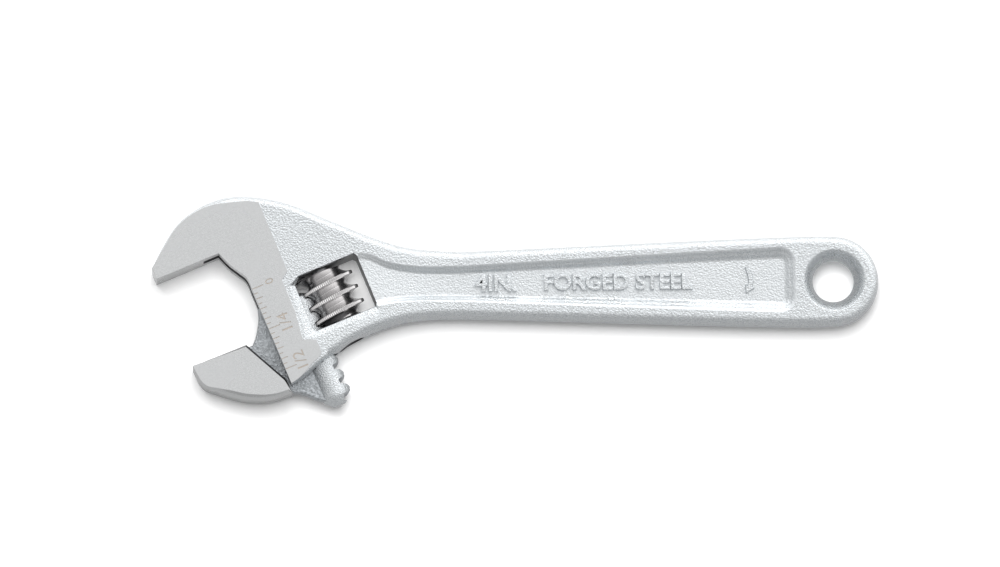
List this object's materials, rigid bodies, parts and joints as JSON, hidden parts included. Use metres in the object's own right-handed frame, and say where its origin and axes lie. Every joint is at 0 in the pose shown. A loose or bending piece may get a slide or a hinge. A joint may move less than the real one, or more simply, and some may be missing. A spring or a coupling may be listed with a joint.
{
  "type": "adjustable wrench",
  "caption": "Open-ended adjustable wrench: forged I-section handle with a hanging hole, angled head, and a sliding jaw driven by a thumb worm.",
  "frame": {"origin": "on the head's underside, where the handle's centreline passes under the head", "axes": "+X along the handle from the head to the hanging hole, +Y towards the fixed jaw's side, +Z out of the upper face of the wrench as it lies flat"},
  "size_m": [0.1068, 0.0315, 0.0087],
  "materials": {
    "forged_body": "satin chrome plate over forged steel, ground flat on the head's faces",
    "jaw": "satin chrome plate, ground flat on both faces",
    "worm": "bright plated steel with serrated crests",
    "pin": "plain turned steel",
    "spring": "spring steel wire"
  },
  "bodies": {
    "root": {"body": "forged_body", "worm_pin": "pin", "worm_spring": "spring"},
    "jaw": {"movable_jaw": "jaw"},
    "worm": {"adjusting_worm": "worm"}
  },
  "joints": [
    {"name": "worm_turn", "type": "hinge", "parent": "root", "child": "worm", "pos_m": [0.00944, -0.00147, 0.00435], "axis": [0.3746, -0.9272, 0], "range_deg": [0, 2192.1]},
    {"name": "jaw_slide", "type": "slide", "parent": "root", "child": "jaw", "axis": [0.3746, -0.9272, 0], "range_m": [-0.0137, 0]}
  ],
  "couplings": [
    {"joint": "worm_turn", "follows": "jaw_slide", "rad_per_m": -2792.5}
  ]
}
